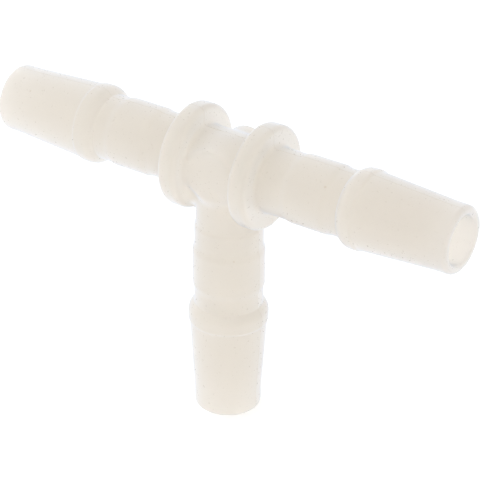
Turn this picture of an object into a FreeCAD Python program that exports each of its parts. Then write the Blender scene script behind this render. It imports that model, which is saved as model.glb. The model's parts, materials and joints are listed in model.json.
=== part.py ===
import FreeCAD, Part
import os

import Sketcher
from FreeCAD import Placement, Rotation, Vector

# Barbed tee connector for hose of 9.5 mm (3/8 in) inside diameter.
# A straight run carries a collar, a neck and a barb on each side of the hub, and the branch
# hangs from the hub with a neck and a barb of its own and no collar.
# The real fitting is one injection moulding. Each named region of it is a sub-part here, and
# neighbouring sub-parts meet face to face.
#
# Frame: millimetres, origin where the run's axis crosses the branch's axis, +X along the run,
# branch towards -Z, +Z up.
#
# Stations are distances from the origin along an arm. Radii are measured from the arm's axis.
SIZES = {
    # water passages
    "bore_radius": 3.45,
    "branch_bore_radius": 3.40,
    "mouth_chamfer": 0.3,
    # hub
    "core_radius": 4.80,
    "drum_radius": 3.60,
    "drum_half_length": 4.90,
    "disc_radius": 2.15,
    "disc_half_length": 5.05,
    "drum_rise": 0.40,
    "root_radius": 4.69,
    "root_end": 8.65,
    # collars on the run
    "collar_inner": 4.25,
    "collar_outer": 7.15,
    "collar_radius": 7.45,
    "rim_round": 0.85,
    # necks
    "neck_radius": 4.70,
    "band_radius": 4.90,
    "band_start": 11.10,
    "band_end": 18.10,
    "ramp_length": 0.85,
    "branch_neck_radius": 4.85,
    "branch_band_radius": 5.10,
    "branch_step_length": 0.45,
    "branch_band_start": 12.00,
    "branch_band_end": 18.95,
    # barbs
    "barb_start": 19.95,
    "branch_barb_start": 21.30,
    "shoulder_length": 1.80,
    "crest_length": 0.80,
    "fall_length": 0.35,
    "taper_length": 11.10,
    "tip_length": 2.70,
    "crest_radius": 5.67,
    "nose_radius": 5.46,
    "taper_end_radius": 4.79,
    "tip_radius": 4.75,
    "tip_round": 0.70,
}

# Third item of an outline's corner that is reached along an arc instead of a straight line.
ARC = "arc"

ALONG_RIGHT = Placement()
ALONG_LEFT = Placement(Vector(0, 0, 0), Rotation(Vector(0, 0, 1), 180))
ALONG_BRANCH = Placement(Vector(0, 0, 0), Rotation(Vector(0, 1, 0), 90))

doc = FreeCAD.newDocument("barbed_tee")


def fill_sheet():
    """Puts every driving dimension in the spreadsheet, under its own alias."""
    sheet = doc.addObject("Spreadsheet::Sheet", "Sizes")
    for row, (alias, size) in enumerate(SIZES.items(), start=1):
        cell = f"A{row}"
        sheet.set(cell, str(size))
        sheet.setAlias(cell, alias)
    doc.recompute()


def value(formula):
    """Number of a sum of aliases, such as "arm_start + arm_length - round"."""
    total = 0.0
    sign = 1
    for word in formula.split():
        if word in ("+", "-"):
            sign = 1 if word == "+" else -1
        else:
            total += sign * SIZES[word]
    return total


def expression(formula):
    """The same sum written as an expression on the spreadsheet."""
    return " ".join(word if word in ("+", "-") else f"Sizes.{word}" for word in formula.split())


def bind(sketch, kind, elements, formula):
    """Adds one dimension to a sketch and binds it to the spreadsheet."""
    index = sketch.addConstraint(Sketcher.Constraint(kind, *elements, value(formula)))
    sketch.setExpression(f"Constraints[{index}]", expression(formula))


def new_body(label, placement=ALONG_RIGHT):
    body = doc.addObject("PartDesign::Body", label)
    body.Label = label
    body.Placement = placement
    return body


def origin_plane(body, role):
    return next(item for item in body.Origin.OriginFeatures if item.Role == role)


def new_sketch(body, role, name):
    sketch = body.newObject("Sketcher::SketchObject", name)
    sketch.AttachmentSupport = [(origin_plane(body, role), "")]
    sketch.MapMode = "FlatFace"
    return sketch


def arc_between(start, end, centre_station):
    """Clockwise arc from start to end, with its centre at the given station."""
    low, high = sorted((start, end), key=lambda point: point.y)
    run = high.x - low.x
    rise = high.y - low.y
    radius = (run**2 + rise**2) / (2 * rise)
    centre = Vector(centre_station, high.y - radius, 0)
    circle = Part.Circle(centre, Vector(0, 0, 1), radius)
    return Part.ArcOfCircle(circle, circle.parameter(end), circle.parameter(start))


def draw_outline(sketch, corners):
    """Closed lathe outline, clockwise. Each corner is (station, radius), and ARC as its third
    item where an arc leads to it. An arc lies level at its higher end, so its centre shares
    that end's station."""
    points = [Vector(value(corner[0]), value(corner[1]), 0) for corner in corners]
    count = len(corners)
    ends = []
    for index, start in enumerate(points):
        following = (index + 1) % count
        end = points[following]
        if ARC in corners[following]:
            higher = index if start.y > end.y else following
            station = corners[higher][0]
            sketch.addGeometry(arc_between(start, end, value(station)), False)
            bind(sketch, "DistanceX", (-1, 1, index, 3), station)
            ends.append((2, 1))
        else:
            sketch.addGeometry(Part.LineSegment(start, end), False)
            ends.append((1, 2))
    for index, corner in enumerate(corners):
        following = (index + 1) % count
        joint = (index, ends[index][1], following, ends[following][0])
        sketch.addConstraint(Sketcher.Constraint("Coincident", *joint))
        bind(sketch, "DistanceX", (-1, 1, index, ends[index][0]), corner[0])
        bind(sketch, "DistanceY", (-1, 1, index, ends[index][0]), corner[1])


def turn(body, kind, name, corners):
    """Revolution or Groove of an outline about the body's own X axis."""
    sketch = new_sketch(body, "XY_Plane", f"{name}_outline")
    draw_outline(sketch, corners)
    feature = body.newObject(kind, name)
    feature.Profile = sketch
    feature.ReferenceAxis = (sketch, ["H_Axis"])
    feature.Angle = 360
    sketch.Visibility = False
    doc.recompute()
    return feature


def draw_circle(sketch, radius, rise=None):
    """Circle on the sketch's vertical axis, at its origin or at the given height."""
    height = value(rise) if rise else 0
    circle = Part.Circle(Vector(0, height, 0), Vector(0, 0, 1), value(radius))
    sketch.addGeometry(circle, False)
    bind(sketch, "Radius", (0,), radius)
    if rise:
        sketch.addConstraint(Sketcher.Constraint("PointOnObject", 0, 3, -2))
        bind(sketch, "DistanceY", (-1, 1, 0, 3), rise)
    else:
        sketch.addConstraint(Sketcher.Constraint("Coincident", 0, 3, -1, 1))


def round_bar(body, name, role, radius, half_length, rise=None):
    """Round bar across the body, as long on one side of the plane as on the other."""
    sketch = new_sketch(body, role, f"{name}_circle")
    draw_circle(sketch, radius, rise)
    pad = body.newObject("PartDesign::Pad", name)
    pad.Profile = sketch
    pad.Midplane = True
    pad.setExpression("Length", f"2 * Sizes.{half_length}")
    sketch.Visibility = False
    doc.recompute()


def cut_and_check(body, feature, solid_before):
    """A cut that points away from the solid removes nothing, so the volumes are compared."""
    doc.recompute()
    if feature.Shape.Volume > solid_before - 1.0:
        raise RuntimeError(f"{body.Label}: {feature.Name} removes nothing")


def collar_corners():
    return [
        ("collar_inner", "bore_radius"),
        ("collar_inner", "collar_radius - rim_round"),
        ("collar_inner + rim_round", "collar_radius", ARC),
        ("collar_outer - rim_round", "collar_radius"),
        ("collar_outer", "collar_radius - rim_round", ARC),
        ("collar_outer", "bore_radius"),
    ]


def run_neck_corners():
    return [
        ("collar_outer", "bore_radius"),
        ("collar_outer", "neck_radius"),
        ("band_start", "neck_radius"),
        ("band_start + ramp_length", "band_radius"),
        ("band_end - ramp_length", "band_radius"),
        ("band_end", "neck_radius"),
        ("barb_start", "neck_radius"),
        ("barb_start", "bore_radius"),
    ]


def branch_neck_corners():
    return [
        ("root_end", "branch_bore_radius"),
        ("root_end", "root_radius"),
        ("root_end + branch_step_length", "branch_neck_radius"),
        ("branch_band_start", "branch_neck_radius"),
        ("branch_band_start + ramp_length", "branch_band_radius"),
        ("branch_band_end - ramp_length", "branch_band_radius"),
        ("branch_band_end", "branch_neck_radius"),
        ("branch_barb_start", "branch_neck_radius"),
        ("branch_barb_start", "branch_bore_radius"),
    ]


def barb_corners(start, neck, bore):
    """Rounded shoulder, short level crest, long tapered nose and a rounded tip."""
    crest = f"{start} + shoulder_length"
    fall = f"{crest} + crest_length"
    nose = f"{fall} + fall_length"
    tip = f"{nose} + taper_length"
    end = f"{tip} + tip_length"
    return [
        (start, bore),
        (start, neck),
        (crest, "crest_radius", ARC),
        (fall, "crest_radius"),
        (nose, "nose_radius"),
        (tip, "taper_end_radius"),
        (f"{end} - tip_round", "tip_radius"),
        (end, "tip_radius - tip_round", ARC),
        (end, f"{bore} + mouth_chamfer"),
        (f"{end} - mouth_chamfer", bore),
    ]


def lathe_part(label, corners, placement):
    body = new_body(label, placement)
    turn(body, "PartDesign::Revolution", f"{label}_turned", corners)
    return body


def make_hub():
    """Core of the run between the collars, with the branch's root below it and a round drum
    through it from front to back. The drum's faces stand a little proud, each with a raised
    blank disc."""
    body = new_body("hub")
    round_bar(body, "run_core", "YZ_Plane", "core_radius", "collar_inner")

    root_sketch = new_sketch(body, "XY_Plane", "branch_root_circle")
    draw_circle(root_sketch, "root_radius")
    root = body.newObject("PartDesign::Pad", "branch_root")
    root.Profile = root_sketch
    root.Reversed = True
    root.setExpression("Length", "Sizes.root_end")
    root_sketch.Visibility = False
    doc.recompute()

    round_bar(body, "drum", "XZ_Plane", "drum_radius", "drum_half_length", "drum_rise")
    round_bar(body, "raised_disc", "XZ_Plane", "disc_radius", "disc_half_length", "drum_rise")

    # The branch's root is wider than the gap between the collars, so they cut into it.
    before = body.Shape.Volume
    seat = turn(body, "PartDesign::Groove", "collar_seat", collar_corners())
    seats = body.newObject("PartDesign::Mirrored", "collar_seats")
    seats.Originals = [seat]
    seats.MirrorPlane = (origin_plane(body, "YZ_Plane"), [""])
    body.Tip = seats
    cut_and_check(body, seats, before)

    for name, role, radius, both_ways in (
        ("run_bore", "YZ_Plane", "bore_radius", True),
        ("branch_bore", "XY_Plane", "branch_bore_radius", False),
    ):
        before = body.Shape.Volume
        sketch = new_sketch(body, role, f"{name}_circle")
        draw_circle(sketch, radius)
        pocket = body.newObject("PartDesign::Pocket", name)
        pocket.Profile = sketch
        pocket.Type = "ThroughAll"
        pocket.Midplane = both_ways
        sketch.Visibility = False
        cut_and_check(body, pocket, before)
    return body


def make_run_side(side, placement):
    return [
        lathe_part(f"{side}_collar", collar_corners(), placement),
        lathe_part(f"{side}_neck", run_neck_corners(), placement),
        lathe_part(f"{side}_barb", barb_corners("barb_start", "neck_radius", "bore_radius"), placement),
    ]


def make_branch():
    corners = barb_corners("branch_barb_start", "branch_neck_radius", "branch_bore_radius")
    return [
        lathe_part("branch_neck", branch_neck_corners(), ALONG_BRANCH),
        lathe_part("branch_barb", corners, ALONG_BRANCH),
    ]


def check_document():
    for item in doc.Objects:
        if "Invalid" in item.State or "Error" in item.State:
            raise RuntimeError(f"{item.Label} failed: {item.State}")


def export_parts(bodies):
    for body in bodies:
        shape = body.Shape
        if shape.isNull() or not shape.isValid():
            raise RuntimeError(f"{body.Label} has no valid shape")
    os.makedirs("parts", exist_ok=True)
    for body in bodies:
        body.Shape.exportStep(f"parts/{body.Label}.step")
        box = body.Shape.optimalBoundingBox(True, False)
        print(f"{body.Label}: {box.XLength:.2f} x {box.YLength:.2f} x {box.ZLength:.2f} mm, "
              f"{body.Shape.Volume:.1f} mm3")


fill_sheet()
parts = [make_hub()]
parts += make_run_side("right", ALONG_RIGHT)
parts += make_run_side("left", ALONG_LEFT)
parts += make_branch()
doc.recompute()
check_document()
export_parts(parts)
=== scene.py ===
import json
import math

import bmesh
import bpy
import numpy as np
from mathutils import Matrix, Vector


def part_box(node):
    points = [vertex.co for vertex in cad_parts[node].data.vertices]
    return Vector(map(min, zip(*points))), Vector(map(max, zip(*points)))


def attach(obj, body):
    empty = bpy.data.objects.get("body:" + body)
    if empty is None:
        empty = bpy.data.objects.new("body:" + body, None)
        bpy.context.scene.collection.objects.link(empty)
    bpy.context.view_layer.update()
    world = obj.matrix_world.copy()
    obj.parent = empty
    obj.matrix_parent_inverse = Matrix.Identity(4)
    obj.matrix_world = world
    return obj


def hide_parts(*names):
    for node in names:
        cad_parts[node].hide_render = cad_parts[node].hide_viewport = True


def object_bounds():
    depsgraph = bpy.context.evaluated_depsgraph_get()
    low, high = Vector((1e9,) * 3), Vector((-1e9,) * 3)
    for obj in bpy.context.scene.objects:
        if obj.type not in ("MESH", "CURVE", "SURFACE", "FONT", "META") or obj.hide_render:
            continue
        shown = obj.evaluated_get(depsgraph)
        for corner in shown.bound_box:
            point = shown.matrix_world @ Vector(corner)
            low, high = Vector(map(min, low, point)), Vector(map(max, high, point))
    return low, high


# Barbed tee connector, moulded in one piece from natural polypropylene.
# The fitting's skin is one closed mesh. The hub, with its collars and the root of the branch, is
# the surface of a solid given by distances, so every junction has a real fillet. Each hose tail
# is turned from an outline with rounded corners and is sewn to the hub along a plain stretch of
# neck and of bore.
#
# Shapes are in millimetres, in the frame of the CAD model: origin where the run's axis crosses
# the branch's axis, +X along the run, branch towards -Z. Stations are distances from the origin
# along a hose tail, radii are measured from its axis.

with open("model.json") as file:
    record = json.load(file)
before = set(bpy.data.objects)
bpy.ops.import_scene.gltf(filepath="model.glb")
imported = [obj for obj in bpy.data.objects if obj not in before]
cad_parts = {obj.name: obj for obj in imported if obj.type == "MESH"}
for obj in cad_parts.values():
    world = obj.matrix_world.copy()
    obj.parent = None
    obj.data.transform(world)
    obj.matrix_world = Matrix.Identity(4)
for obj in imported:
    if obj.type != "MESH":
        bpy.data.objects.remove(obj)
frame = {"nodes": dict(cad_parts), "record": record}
cad_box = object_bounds()
record = frame["record"]
mounts = {mount["name"]: mount for mount in record["mounts"]}

MM = 0.001

# Fineness of the mesh
SEGMENTS = 112
OUTER_STEP = 0.5
BORE_STEP = 0.9
ARC_STEP = math.radians(11)
CELL = 0.22
RELAXATIONS = 4
SEW_GAP = 0.25
SLOPE_REACH = 0.01

# Shape of the hose tails, where the CAD boxes and mounts don't give it. The two seams are where
# the tails are sewn to the hub.
MOUTH_CHAMFER = 0.3
MOUTH_EDGE = 0.12
TIP_ROUND = 0.7
TAPER_END_RISE = 0.04
TAPER_LENGTH = 11.1
FALL_LENGTH = 0.35
NOSE_DROP = 0.21
SHOULDER_LENGTH = 1.8
SHOULDER_CORNER = 0.64
SHOULDER_BLEND = 1.9
ROOT_BLEND = 0.2
CREST_BLEND = 0.35
NOSE_BLEND = 0.4
TAPER_BLEND = 8.0
TIP_RISE = 1.3
RAMP_LENGTH = 0.85
RAMP_BLEND = 1.6
BAND_RISE = 0.2
BAND_INSETS = (3.95, 1.85)
BRANCH_BAND_RISE = 0.25
BRANCH_BAND_INSETS = (3.35, 2.35)
RUN_SEAM = 8.4
BRANCH_SEAM = 10.4

# Shape of the hub
RIM_ROUND = 0.85
DRUM_RADIUS = 3.6
DRUM_RISE = 0.4
DRUM_HALF_LENGTH = 4.9
DRUM_EDGE = 0.35
DISC_RADIUS = 2.15
DISC_EDGE = 0.1
BRANCH_ROOT_RADIUS = 4.69
BRANCH_STEP_LENGTH = 0.45
NECK_FILLET = 0.55
COLLAR_FILLET = 0.5
BRANCH_FILLET = 0.5
# The fillet between branch and collars, and the heights (z) where it starts and where it is full
WEB_FILLET = 2.6
WEB_START = -7.2
WEB_FULL = -4.2
# Fillets of the drum, its disc and the crossing of the bores
DRUM_FRONT_FILLET = 1.9
DRUM_BACK_FILLET = 0.35
DISC_FILLET = 0.08
BORE_FILLET = 0.2

# The parting line of the mould's two halves, a low ridge all round the plane y = 0. The mesh is
# finer there: in the hub by smaller cells, in the tails by crowding their segments.
PARTING_RISE = 0.05
PARTING_WIDTH = 0.09
FINE_CELL = 0.06
FINE_REACH = 0.3
CROWDING = 0.75


def millimetres(node):
    """A CAD node's lowest and highest corner in millimetres."""
    low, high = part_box(node)
    return low / MM, high / MM


def mount_radius(name):
    return mounts[name]["dims"]["r_mm"]


collar_low, collar_high = millimetres("right_collar")
neck_low, neck_high = millimetres("right_neck")
barb_low, barb_high = millimetres("right_barb")
branch_neck_low, branch_neck_high = millimetres("branch_neck")
branch_barb_low, branch_barb_high = millimetres("branch_barb")
hub_high = millimetres("hub")[1]

RUN_BORE = mount_radius("run_bore")
BRANCH_BORE = mount_radius("branch_bore")
CREST_RADIUS = mount_radius("right_barb_crest")
CREST_LENGTH = mounts["right_barb_crest"]["dims"]["length_mm"]

COLLAR_MIDDLE = (collar_low.x + collar_high.x) / 2
COLLAR_HALF = (collar_high.x - collar_low.x) / 2
COLLAR_RADIUS = collar_high.z
NECK_RADIUS = neck_high.z - BAND_RISE
BRANCH_NECK_RADIUS = branch_neck_high.x - BRANCH_BAND_RISE
CORE_RADIUS = hub_high.z
DISC_HALF_LENGTH = hub_high.y
BRANCH_STEP = -branch_neck_high.z

# Turns of a hose tail's own +X axis onto the arm that it belongs to.
ALONG_RIGHT = np.eye(3)
ALONG_LEFT = np.diag([-1.0, -1.0, 1.0])
ALONG_BRANCH = np.array([[0.0, 0.0, 1.0], [0.0, 1.0, 0.0], [-1.0, 0.0, 0.0]])


# ---------------------------------------------------------------- outlines of the hose tails


def rounded(corners):
    """Points of an outline. Each corner is (station, radius, blend radius)."""
    points = [np.array(corners[0][:2])]
    for before, corner, after in zip(corners, corners[1:], corners[2:]):
        middle = np.array(corner[:2])
        back = np.array(before[:2]) - middle
        ahead = np.array(after[:2]) - middle
        back /= np.linalg.norm(back)
        ahead /= np.linalg.norm(ahead)
        turn = math.pi - math.acos(np.clip(back @ ahead, -1.0, 1.0))
        reach = corner[2] * math.tan(turn / 2)
        towards = (back + ahead) / np.linalg.norm(back + ahead)
        centre = middle + towards * corner[2] / math.cos(turn / 2)
        start = middle + back * reach - centre
        end = middle + ahead * reach - centre
        steps = max(2, math.ceil(turn / ARC_STEP))
        for step in range(steps + 1):
            share = step / steps
            spoke = start * math.sin((1 - share) * turn) + end * math.sin(share * turn)
            points.append(centre + spoke / math.sin(turn))
    points.append(np.array(corners[-1][:2]))
    return points


def divided(points, step):
    """The same outline with no stretch longer than step."""
    fine = [points[0]]
    for start, end in zip(points, points[1:]):
        pieces = max(1, math.ceil(np.linalg.norm(end - start) / step))
        fine += [start + (end - start) * piece / pieces for piece in range(1, pieces + 1)]
    return fine


def tail_outline(seam, neck, band, band_rise, barb_start, tip_end, bore):
    """Outline of a hose tail, out along its outer skin and back along its bore. Each row is a
    station, a radius and the share of the parting ridge there."""
    crest_start = barb_start + SHOULDER_LENGTH
    crest_end = crest_start + CREST_LENGTH
    nose_start = crest_end + FALL_LENGTH
    taper_end = nose_start + TAPER_LENGTH
    tip = bore + TIP_RISE
    band_start, band_end = band
    outer = [
        (seam, neck, 0),
        (band_start, neck, RAMP_BLEND),
        (band_start + RAMP_LENGTH, neck + band_rise, RAMP_BLEND),
        (band_end - RAMP_LENGTH, neck + band_rise, RAMP_BLEND),
        (band_end, neck, RAMP_BLEND),
        (barb_start, neck, ROOT_BLEND),
        (barb_start + SHOULDER_CORNER, CREST_RADIUS, SHOULDER_BLEND),
        (crest_end, CREST_RADIUS, CREST_BLEND),
        (nose_start, CREST_RADIUS - NOSE_DROP, NOSE_BLEND),
        (taper_end, tip + TAPER_END_RISE, TAPER_BLEND),
        (tip_end, tip, TIP_ROUND),
        (tip_end, bore + MOUTH_CHAMFER, MOUTH_EDGE),
        (tip_end - MOUTH_CHAMFER, bore, MOUTH_EDGE),
        (tip_end - 2 * MOUTH_CHAMFER, bore, 0),
    ]
    skin = divided(rounded(outer), OUTER_STEP)
    passage = divided([skin[-1], np.array((seam, bore))], BORE_STEP)
    points = np.array(skin + passage[1:])
    share = smooth_step((points[:, 1] - tip + TIP_ROUND) / TIP_ROUND)
    return np.column_stack([points, share])


def run_outline():
    band = (neck_low.x + BAND_INSETS[0], neck_high.x - BAND_INSETS[1])
    return tail_outline(
        RUN_SEAM + SEW_GAP, NECK_RADIUS, band, BAND_RISE, barb_low.x, barb_high.x, RUN_BORE
    )


def branch_outline():
    band = (
        -branch_neck_high.z + BRANCH_BAND_INSETS[0],
        -branch_neck_low.z - BRANCH_BAND_INSETS[1],
    )
    return tail_outline(
        BRANCH_SEAM + SEW_GAP,
        BRANCH_NECK_RADIUS,
        band,
        BRANCH_BAND_RISE,
        -branch_barb_high.z,
        -branch_barb_low.z,
        BRANCH_BORE,
    )


# ---------------------------------------------------------------- the hub as a solid of distances


def filleted_union(one, other, radius):
    """Distance to two solids joined, with a fillet between them. In a right-angled corner it has
    that radius, and in a sharper one it fills less."""
    inside = np.maximum(radius, np.minimum(one, other))
    return inside - np.hypot(np.maximum(radius - one, 0), np.maximum(radius - other, 0))


def round_disc(along, across, half_length, radius, edge):
    """Distance to a disc with rounded edges. along and across are a point's distances from the
    disc's middle plane and from its axis."""
    over = np.abs(along) - half_length + edge
    out = across - radius + edge
    past_edge = np.hypot(np.maximum(over, 0), np.maximum(out, 0))
    return past_edge + np.minimum(np.maximum(over, out), 0) - edge


def smooth_step(value):
    value = np.clip(value, 0, 1)
    return value * value * (3 - 2 * value)


def parting_ridge(y):
    return PARTING_RISE * np.exp(-((y / PARTING_WIDTH) ** 2))


def hub_solid(x, y, z):
    """Distance in millimetres to the moulding near its hub, negative inside the plastic."""
    side = np.abs(x)
    from_run = np.hypot(y, z)
    from_branch = np.hypot(x, y)
    from_drum = np.hypot(x, z - DRUM_RISE)

    tube = from_run - np.where(side < COLLAR_MIDDLE, CORE_RADIUS, NECK_RADIUS)
    collar = round_disc(side - COLLAR_MIDDLE, from_run, COLLAR_HALF, COLLAR_RADIUS, RIM_ROUND)
    fillet = np.where(side < COLLAR_MIDDLE, COLLAR_FILLET, NECK_FILLET)
    run = filleted_union(tube, collar, fillet)

    step = smooth_step((-z - BRANCH_STEP) / BRANCH_STEP_LENGTH)
    branch_radius = BRANCH_ROOT_RADIUS + (BRANCH_NECK_RADIUS - BRANCH_ROOT_RADIUS) * step
    branch = np.maximum(from_branch - branch_radius, z)
    drum = round_disc(y, from_drum, DRUM_HALF_LENGTH, DRUM_RADIUS, DRUM_EDGE)
    disc = round_disc(y, from_drum, DISC_HALF_LENGTH, DISC_RADIUS, DISC_EDGE)

    # The sharp grooves between the branch and the collars' inner faces are filled, but for
    # their lower ends.
    web_fillet = WEB_FILLET * smooth_step((z - WEB_START) / (WEB_FULL - WEB_START))
    web = filleted_union(collar, branch, np.where(side < COLLAR_MIDDLE, web_fillet, 0))
    body = np.minimum(filleted_union(run, branch, BRANCH_FILLET), web)

    # The drum blends softly into the front of the hub and stands out sharply at the back.
    towards_back = smooth_step(y / CORE_RADIUS + 0.5)
    drum_fillet = DRUM_FRONT_FILLET + (DRUM_BACK_FILLET - DRUM_FRONT_FILLET) * towards_back
    body = filleted_union(body, drum, drum_fillet)
    body = filleted_union(body, disc, DISC_FILLET)

    branch_bore = np.maximum(from_branch - BRANCH_BORE, z)
    passage = filleted_union(from_run - RUN_BORE, branch_bore, BORE_FILLET)
    return np.maximum(body - parting_ridge(y), -passage)


def slope(solid, points):
    """Unit vectors straight out of the solid at these points."""
    steps = np.eye(3) * SLOPE_REACH
    rise = [solid(*(points + step).T) - solid(*(points - step).T) for step in steps]
    rise = np.array(rise).T
    return rise / np.maximum(np.linalg.norm(rise, axis=1, keepdims=True), 1e-9)


def onto_surface(solid, points, times=3):
    for _ in range(times):
        points = points - slope(solid, points) * solid(*points.T)[:, None]
    return points


def ticks_between(low, high, cell):
    return np.linspace(low, high, math.ceil((high - low) / cell) + 1)


def surface_net(solid, ticks):
    """Vertices and quads of the solid's surface in a grid: one vertex in each cell that the
    surface passes through, and one quad round each edge that it cuts."""
    counts = [len(tick) - 1 for tick in ticks]
    inside = solid(*np.meshgrid(*ticks, indexing="ij")) < 0

    corners = sum(
        inside[i : i + counts[0], j : j + counts[1], k : k + counts[2]].astype(int)
        for i in (0, 1)
        for j in (0, 1)
        for k in (0, 1)
    )
    cut = (corners > 0) & (corners < 8)
    number = np.full(counts, -1)
    number[cut] = np.arange(cut.sum())
    middles = [(tick[1:] + tick[:-1]) / 2 for tick in ticks]
    points = np.stack([middle[at] for middle, at in zip(middles, np.nonzero(cut))], axis=1)

    quads = []
    for axis in range(3):
        along = np.moveaxis(inside, axis, 0)
        cells = np.moveaxis(number, axis, 0)
        leaves = along[:-1, 1:-1, 1:-1] & ~along[1:, 1:-1, 1:-1]
        enters = ~along[:-1, 1:-1, 1:-1] & along[1:, 1:-1, 1:-1]
        ring = [cells[:, :-1, :-1], cells[:, 1:, :-1], cells[:, 1:, 1:], cells[:, :-1, 1:]]
        if axis == 1:
            ring.reverse()
        quads.append(np.stack([corner[leaves] for corner in ring], axis=1))
        quads.append(np.stack([corner[enters] for corner in ring[::-1]], axis=1))
    return points, np.concatenate(quads)


def edges_of(quads):
    """Every edge of the quads, as pairs of vertices with the lower number first."""
    pairs = np.concatenate([quads[:, [k, (k + 1) % 4]] for k in range(4)])
    return np.sort(pairs, axis=1)


def relaxed(solid, points, quads, held):
    """Evens out the net's vertices along the surface. Held vertices stay."""
    pairs = np.unique(edges_of(quads), axis=0)
    count = np.bincount(pairs.ravel(), minlength=len(points))[:, None]
    for _ in range(RELAXATIONS):
        total = np.zeros_like(points)
        np.add.at(total, pairs[:, 0], points[pairs[:, 1]])
        np.add.at(total, pairs[:, 1], points[pairs[:, 0]])
        moved = onto_surface(solid, total / np.maximum(count, 1), 1)
        points = np.where(held[:, None], points, moved)
    return onto_surface(solid, points)


# ---------------------------------------------------------------- one mesh from hub and tails


class Skin:
    """Vertices and faces of the moulding, gathered piece by piece."""

    def __init__(self):
        self.points = []
        self.faces = []

    def add(self, points):
        first = len(self.points)
        self.points += [tuple(point) for point in points]
        return first

    def sew(self, loop, ring):
        """Triangles between two loops of different counts round the same axis. Each loop is a
        list of (angle, vertex) in rising order of angle."""
        i, j = 0, 0
        while i < len(loop) or j < len(ring):
            here = loop[i % len(loop)][1], ring[j % len(ring)][1]
            next_loop = loop[(i + 1) % len(loop)][0] + 2 * math.pi * ((i + 1) // len(loop))
            next_ring = ring[(j + 1) % len(ring)][0] + 2 * math.pi * ((j + 1) // len(ring))
            if j >= len(ring) or (i < len(loop) and next_loop < next_ring):
                i += 1
                self.faces.append((here[0], loop[i % len(loop)][1], here[1]))
            else:
                j += 1
                self.faces.append((here[0], ring[j % len(ring)][1], here[1]))


def add_hub(skin):
    """Meshes the hub. Its open edges are left as sorted loops for the tails to be sewn to."""
    reach = COLLAR_RADIUS + 2 * CELL
    coarse = ticks_between(FINE_REACH, reach, CELL)[1:]
    fine = ticks_between(-FINE_REACH, FINE_REACH, FINE_CELL)
    ticks = [
        ticks_between(-RUN_SEAM, RUN_SEAM, CELL),
        np.concatenate([-coarse[::-1], fine, coarse]),
        ticks_between(-BRANCH_SEAM, reach, CELL),
    ]
    points, quads = surface_net(hub_solid, ticks)

    pairs, uses = np.unique(edges_of(quads), axis=0, return_counts=True)
    rim = np.zeros(len(points), bool)
    rim[pairs[uses == 1].ravel()] = True
    loops = []
    for turn, seam, neck, bore in (
        (ALONG_RIGHT, RUN_SEAM, NECK_RADIUS, RUN_BORE),
        (ALONG_LEFT, RUN_SEAM, NECK_RADIUS, RUN_BORE),
        (ALONG_BRANCH, BRANCH_SEAM, BRANCH_NECK_RADIUS, BRANCH_BORE),
    ):
        local = points @ turn
        at_seam = rim & (local[:, 0] > seam - 2 * CELL)
        from_axis = np.hypot(local[:, 1], local[:, 2])
        wall_middle = (neck + bore) / 2
        for chosen, radius, rise in (
            (at_seam & (from_axis > wall_middle), neck, 1),
            (at_seam & (from_axis < wall_middle), bore, 0),
        ):
            numbers = np.nonzero(chosen)[0]
            angles = np.arctan2(local[numbers, 2], local[numbers, 1])
            radii = radius + rise * parting_ridge(local[numbers, 1])
            stations = np.full(len(angles), seam)
            circle = np.stack([stations, radii * np.cos(angles), radii * np.sin(angles)])
            points[numbers] = circle.T @ turn.T
            loops.append(sorted(zip(angles.tolist(), numbers.tolist())))
    on_parting = np.abs(points[:, 1]) < FINE_REACH + CELL
    points = relaxed(hub_solid, points, quads, rim | on_parting)
    first = skin.add(points)
    skin.faces += (quads + first).tolist()
    return [[(angle, number + first) for angle, number in loop] for loop in loops]


def add_tail(skin, outline, turn, outer_loop, bore_loop):
    """Turns an outline about its arm's axis and sews it to the hub's two loops."""
    angles = -math.pi + (np.arange(SEGMENTS) + 0.5) * 2 * math.pi / SEGMENTS
    angles += CROWDING * np.sin(2 * angles) / 2
    stations, radii, rise = outline[:, :1], outline[:, 1:2], outline[:, 2:]
    radii = radii + rise * parting_ridge(radii * np.cos(angles))
    rings = np.stack(
        [np.repeat(stations, SEGMENTS, axis=1), radii * np.cos(angles), radii * np.sin(angles)],
        axis=-1,
    )
    first = skin.add(rings.reshape(-1, 3) @ turn.T)
    for ring in range(len(outline) - 1):
        base = first + ring * SEGMENTS
        outer = base + SEGMENTS
        for segment in range(SEGMENTS):
            following = (segment + 1) % SEGMENTS
            skin.faces.append((base + segment, base + following, outer + following, outer + segment))
    last = first + (len(outline) - 1) * SEGMENTS
    skin.sew(outer_loop, [(angle, first + k) for k, angle in enumerate(angles)])
    skin.sew(bore_loop, [(angle, last + k) for k, angle in enumerate(angles)])


def make_moulding():
    skin = Skin()
    loops = add_hub(skin)
    for outline, turn, pair in (
        (run_outline(), ALONG_RIGHT, loops[0:2]),
        (run_outline(), ALONG_LEFT, loops[2:4]),
        (branch_outline(), ALONG_BRANCH, loops[4:6]),
    ):
        add_tail(skin, outline, turn, *pair)

    mesh = bpy.data.meshes.new("tee_moulding")
    mesh.from_pydata([tuple(c * MM for c in point) for point in skin.points], [], skin.faces)
    mesh.validate()
    turn_faces_outwards(mesh)
    mesh.shade_smooth()
    piece = bpy.data.objects.new("tee_moulding", mesh)
    bpy.context.scene.collection.objects.link(piece)
    return piece


def turn_faces_outwards(mesh):
    work = bmesh.new()
    work.from_mesh(mesh)
    bmesh.ops.recalc_face_normals(work, faces=work.faces)
    work.to_mesh(mesh)
    work.free()


# ---------------------------------------------------------------- material

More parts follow.
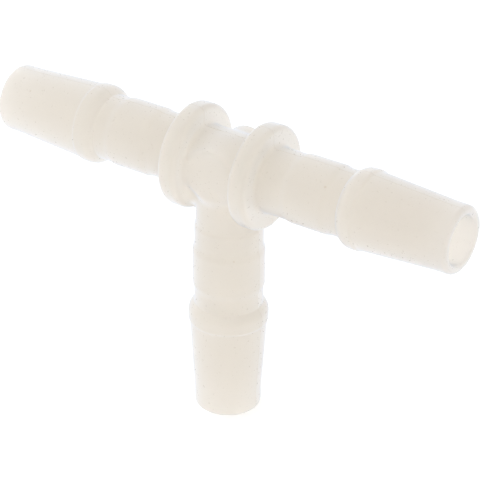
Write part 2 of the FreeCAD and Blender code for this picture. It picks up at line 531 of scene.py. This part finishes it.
PLASTIC_IOR = 1.49
MILKY_SHARE = 0.85
CLEAR_ROUGHNESS = 0.15
SCATTER_TINT = (0.9975, 0.9945, 0.989, 1)
SCATTER_DENSITY = 1.4 / MM
SCATTER_FORWARD = 0.8
GLOSS_TINT = (0.84, 0.86, 0.90, 1)
GLOSS_ROUGHNESS = (0.27, 0.40)
HAZE = 0.65

# Texture of the surface
CLOUD_SIZE = 6.0 * MM
WAVE_SIZE = 2.2 * MM
GRAIN_SIZE = 0.35 * MM
GRAIN_HEIGHT = 0.25
GRAIN_RANGE = (0.3, 0.7)
RELIEF = 0.03 * MM

# Tints, and where each one starts and where it is full: stations and radii in millimetres, and
# heights as z in millimetres
WALL_TINT = (0.976, 0.958, 0.931, 1)
# Painted light: a lighter tint at the core, lifting the shade between the collars, and at the branch's
# tip at the bottom.
PAINTED_LIGHT_TINT = (0.995, 0.981, 0.961, 1)
PAINTED_LIGHT_STATIONS = (COLLAR_MIDDLE + COLLAR_HALF + 1.5, COLLAR_MIDDLE - COLLAR_HALF)
PAINTED_LIGHT_HEIGHTS = (-11.0, -4.0)
PAINTED_LIGHT_TIP_HEIGHTS = (-29.0, -39.0)
# Painted shade: a darker tint towards the right end of the run.
PAINTED_SHADE_TINT = (0.955, 0.932, 0.902, 1)
PAINTED_SHADE_STATIONS = (12.0, 38.0)
RIM_TINT = (0.955, 0.932, 0.896, 1)
RIM_TINT_HALF_WIDTHS = (COLLAR_HALF + 0.4, COLLAR_HALF - 0.2)
RIM_TINT_RADII = (NECK_RADIUS + 0.6, COLLAR_RADIUS - 0.3)
RIM_TINT_HEIGHTS = (-COLLAR_RADIUS - 1.0, -COLLAR_RADIUS)
CLOUD_DEPTH = 0.35
# A darker tint for specks, and painted shade along the parting line's low ridge.
SPECK_AND_PAINTED_SHADE_TINT = (0.80, 0.74, 0.66, 1)
PAINTED_PARTING_SHADE_DEPTH = 0.2
PAINTED_PARTING_SHADE_REACHES = (1.2 * PARTING_WIDTH, 0.3 * PARTING_WIDTH)
SPECK_DEPTH = 0.5
# Each speck's x, y, z and radius in millimetres
SPECKS = ((3.4, -3.8, -12.4, 0.12), (-31.7, -3.4, 3.6, 0.1), (17.5, -3.4, 3.5, 0.12))


def set_input(tree, socket, value):
    """Links the socket to another node's output, or sets its value."""
    if isinstance(value, bpy.types.NodeSocket):
        tree.links.new(value, socket)
    else:
        socket.default_value = value


def add_node(tree, kind, inputs=(), **settings):
    """A new node. inputs gives a value or another node's output for each socket's name or number."""
    node = tree.nodes.new("ShaderNode" + kind)
    for name, value in settings.items():
        setattr(node, name, value)
    for socket, value in dict(inputs).items():
        set_input(tree, node.inputs[socket], value)
    return node


def calculate(tree, operation, *values):
    return add_node(tree, "Math", enumerate(values), operation=operation).outputs[0]


def ramp(tree, value, span):
    """0 before the span, 1 past it and smooth in it. The span is a start and an end in
    millimetres."""
    start, end = span
    inputs = {"Value": value, "From Min": start * MM, "From Max": end * MM}
    return add_node(tree, "MapRange", inputs, interpolation_type="SMOOTHSTEP").outputs[0]


def blend_colours(tree, share, one, other):
    node = add_node(tree, "Mix", {"Factor": share}, data_type="RGBA")
    # Sockets 6 and 7 of a Mix node are its colours A and B, and its output 2 is a colour.
    set_input(tree, node.inputs[6], one)
    set_input(tree, node.inputs[7], other)
    return node.outputs[2]


def noise(tree, place, size, detail):
    inputs = {"Vector": place, "Scale": 1 / size, "Detail": detail}
    return add_node(tree, "TexNoise", inputs).outputs[0]


def near_collar_rims(tree, side, from_run, z):
    """1 in the collars' rims and 0 elsewhere, on the branch below them too."""
    from_middle = calculate(tree, "ABSOLUTE", calculate(tree, "SUBTRACT", side, COLLAR_MIDDLE * MM))
    between_faces = ramp(tree, from_middle, RIM_TINT_HALF_WIDTHS)
    far_out = ramp(tree, from_run, RIM_TINT_RADII)
    above_branch = ramp(tree, z, RIM_TINT_HEIGHTS)
    return calculate(tree, "MULTIPLY", calculate(tree, "MULTIPLY", between_faces, far_out), above_branch)


def painted_light_at_core_and_branch_tip(tree, side, z):
    """1 where light is painted, at the core between the collars and at the branch's tip, and 0
    elsewhere.
    """
    between_collars = ramp(tree, side, PAINTED_LIGHT_STATIONS)
    high_up = ramp(tree, z, PAINTED_LIGHT_HEIGHTS)
    painted_light_core = calculate(tree, "MULTIPLY", between_collars, high_up)
    return calculate(tree, "MAXIMUM", painted_light_core, ramp(tree, z, PAINTED_LIGHT_TIP_HEIGHTS))


def painted_parting_shade_and_specks(tree, place, y):
    """How strongly each place is darkened, from 0 to 1: painted shade along the parting ridge, and
    specks.
    """
    # Painted shade along the parting ridge.
    line = ramp(tree, calculate(tree, "ABSOLUTE", y), PAINTED_PARTING_SHADE_REACHES)
    shade_and_specks = calculate(tree, "MULTIPLY", line, PAINTED_PARTING_SHADE_DEPTH)
    for *centre, radius in SPECKS:
        inputs = {0: place, 1: [value * MM for value in centre]}
        away = add_node(tree, "VectorMath", inputs, operation="DISTANCE").outputs["Value"]
        speck = calculate(tree, "MULTIPLY", ramp(tree, away, (2 * radius, radius)), SPECK_DEPTH)
        shade_and_specks = calculate(tree, "MAXIMUM", shade_and_specks, speck)
    return shade_and_specks


def plastic_tint_with_painted_light(tree, place, cloud):
    """Colour of the light that the skin lets through: painted light at the core and at the branch's
    tip, painted shade towards the right end and along the parting line, and darker in the
    collars' rims, in clouds and in specks."""
    x, y, z = add_node(tree, "SeparateXYZ", {0: place}).outputs
    side = calculate(tree, "ABSOLUTE", x)
    y_squared = calculate(tree, "MULTIPLY", y, y)
    from_run = calculate(tree, "SQRT", calculate(tree, "MULTIPLY_ADD", z, z, y_squared))

    # Painted shade towards the right end.
    painted_shade_at_end = ramp(tree, x, PAINTED_SHADE_STATIONS)
    rims = near_collar_rims(tree, side, from_run, z)
    rims_and_clouds = calculate(tree, "MULTIPLY_ADD", cloud, CLOUD_DEPTH, rims)
    # Painted light at the core and at the branch's tip.
    tint_with_painted_light = blend_colours(tree, painted_light_at_core_and_branch_tip(tree, side, z), WALL_TINT, PAINTED_LIGHT_TINT)
    tint_with_painted_light = blend_colours(tree, painted_shade_at_end, tint_with_painted_light, PAINTED_SHADE_TINT)
    tint_with_painted_light = blend_colours(tree, rims_and_clouds, tint_with_painted_light, RIM_TINT)
    return blend_colours(tree, painted_parting_shade_and_specks(tree, place, y), tint_with_painted_light, SPECK_AND_PAINTED_SHADE_TINT)


def natural_plastic():
    """Unpigmented plastic: a satin skin, part clear and part milky, round plastic that scatters."""
    material = bpy.data.materials.new("natural_plastic")
    material.use_nodes = True
    tree = material.node_tree
    output = tree.nodes["Material Output"]
    place = add_node(tree, "TexCoord").outputs["Object"]
    cloud = noise(tree, place, CLOUD_SIZE, 3)
    wave = noise(tree, place, WAVE_SIZE, 1)
    grain = noise(tree, place, GRAIN_SIZE, 2)
    height = calculate(tree, "MULTIPLY_ADD", grain, GRAIN_HEIGHT, wave)
    inputs = {"Height": height, "Distance": RELIEF, "Strength": 1.0}
    relief = add_node(tree, "Bump", inputs).outputs[0]
    inputs = {
        "Value": grain,
        "From Min": GRAIN_RANGE[0],
        "From Max": GRAIN_RANGE[1],
        "To Min": GLOSS_ROUGHNESS[0],
        "To Max": GLOSS_ROUGHNESS[1],
    }
    roughness = add_node(tree, "MapRange", inputs).outputs[0]
    tint_with_painted_light = plastic_tint_with_painted_light(tree, place, cloud)

    clear = tree.nodes["Principled BSDF"]
    clear.inputs["Transmission Weight"].default_value = 1.0
    clear.inputs["IOR"].default_value = PLASTIC_IOR
    clear.inputs["Roughness"].default_value = CLEAR_ROUGHNESS
    tree.links.new(tint_with_painted_light, clear.inputs["Base Color"])
    milky = add_node(tree, "BsdfTranslucent", {"Color": tint_with_painted_light})
    inputs = {0: MILKY_SHARE, 1: clear.outputs[0], 2: milky.outputs[0]}
    body = add_node(tree, "MixShader", inputs)

    # The gloss of a smooth surface, with a haze that grows towards the outline. Neither is seen
    # from inside the plastic.
    inputs = {"Color": GLOSS_TINT, "Roughness": roughness, "Normal": relief}
    gloss = add_node(tree, "BsdfGlossy", inputs)
    mirror = add_node(tree, "Fresnel", {"IOR": PLASTIC_IOR, "Normal": relief}).outputs[0]
    facing = add_node(tree, "LayerWeight", {"Blend": 0.5}).outputs["Facing"]
    grazing = calculate(tree, "MULTIPLY", facing, facing)
    share = calculate(tree, "MULTIPLY_ADD", grazing, HAZE, mirror)
    inside = add_node(tree, "NewGeometry").outputs["Backfacing"]
    share = calculate(tree, "MULTIPLY", share, calculate(tree, "SUBTRACT", 1.0, inside))
    skin = add_node(tree, "MixShader", {0: share, 1: body.outputs[0], 2: gloss.outputs[0]})
    tree.links.new(skin.outputs[0], output.inputs["Surface"])

    inputs = {"Color": SCATTER_TINT, "Density": SCATTER_DENSITY, "Anisotropy": SCATTER_FORWARD}
    scatter = add_node(tree, "VolumePrincipled", inputs)
    tree.links.new(scatter.outputs[0], output.inputs["Volume"])
    return material


# ---------------------------------------------------------------- floor, light and camera


# Half the floor's width, in metres
FLOOR_REACH = 2.0
FLOOR_COLOUR = (0.9, 0.9, 0.9, 1)
FLOOR_ROUGHNESS = 0.9
FLOOR_GLOW = 0.3


def make_floor():
    """A white floor at the foot of the branch, glowing enough to look white under the fitting."""
    mesh = bpy.data.meshes.new("floor")
    lowest = cad_box[0].z
    around = ((-1, -1), (1, -1), (1, 1), (-1, 1))
    corners = [(FLOOR_REACH * x, FLOOR_REACH * y, lowest) for x, y in around]
    mesh.from_pydata(corners, [], [(0, 1, 2, 3)])
    floor = bpy.data.objects.new("floor", mesh)
    bpy.context.scene.collection.objects.link(floor)
    material = bpy.data.materials.new("pale_floor")
    material.use_nodes = True
    shader = material.node_tree.nodes["Principled BSDF"]
    shader.inputs["Base Color"].default_value = FLOOR_COLOUR
    shader.inputs["Roughness"].default_value = FLOOR_ROUGHNESS
    shader.inputs["Emission Color"].default_value = (1, 1, 1, 1)
    shader.inputs["Emission Strength"].default_value = FLOOR_GLOW
    mesh.materials.append(material)


# The sky is brightest in the direction LIGHT_AZIMUTH degrees to the left of straight back, where
# it is brighter than its middle strength by the share SIDE_LIGHT.
LIGHT_STRENGTH = 0.92
SIDE_LIGHT = 0.33
LIGHT_AZIMUTH = 80


def make_light():
    """An even white sky, a little brighter on the left and at the back."""
    world = bpy.data.worlds.new("studio")
    bpy.context.scene.world = world
    world.use_nodes = True
    tree = world.node_tree
    background = tree.nodes["Background"]
    towards = add_node(tree, "TexCoord").outputs["Generated"]
    azimuth = math.radians(LIGHT_AZIMUTH)
    inputs = {0: towards, 1: (-math.sin(azimuth), math.cos(azimuth), 0)}
    along = add_node(tree, "VectorMath", inputs, operation="DOT_PRODUCT").outputs["Value"]
    strength = calculate(tree, "MULTIPLY_ADD", along, SIDE_LIGHT * LIGHT_STRENGTH, LIGHT_STRENGTH)
    tree.links.new(strength, background.inputs["Strength"])
    background.inputs["Color"].default_value = (1, 1, 1, 1)


BOUNCES = {
    "max_bounces": 128,
    "volume_bounces": 128,
    "transmission_bounces": 64,
    "diffuse_bounces": 64,
    "glossy_bounces": 16,
}


def allow_many_bounces():
    """Light crosses the moulding's walls and scatters in them many times before it gets out."""
    for name, count in BOUNCES.items():
        setattr(bpy.context.scene.cycles, name, count)


# Where the camera looks from, in degrees, and its lens and place, in millimetres
AZIMUTH = 33.8335
ELEVATION = 29.4671
ROLL = 0.5983
FOCAL = 200.4
SENSOR_WIDTH = 36
DISTANCE = 364.84
SIDE_SHIFT = 1.497
DROP = 10.242
CLIP_START = 10
CLIP_END = 10000


def make_camera():
    azimuth, elevation, roll = (math.radians(angle) for angle in (AZIMUTH, ELEVATION, ROLL))
    back = Vector(
        (
            math.sin(azimuth) * math.cos(elevation),
            -math.cos(azimuth) * math.cos(elevation),
            math.sin(elevation),
        )
    )
    right = Vector((math.cos(azimuth), math.sin(azimuth), 0))
    up = back.cross(right)
    place = (right * SIDE_SHIFT - up * DROP + back * DISTANCE) * MM
    across = right * math.cos(roll) + up * math.sin(roll)
    above = up * math.cos(roll) - right * math.sin(roll)
    data = bpy.data.cameras.new("camera")
    data.lens = FOCAL
    data.sensor_width = SENSOR_WIDTH
    data.clip_start = CLIP_START * MM
    data.clip_end = CLIP_END * MM
    camera = bpy.data.objects.new("camera", data)
    turn = Matrix((across, above, back)).transposed()
    camera.matrix_world = Matrix.Translation(place) @ turn.to_4x4()
    bpy.context.scene.collection.objects.link(camera)
    bpy.context.scene.camera = camera


moulding = make_moulding()
moulding.data.materials.append(natural_plastic())
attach(moulding, "root")
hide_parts(*frame["nodes"])
make_floor()
make_light()
allow_many_bounces()
make_camera()
bpy.context.scene.view_settings.view_transform = "Standard"
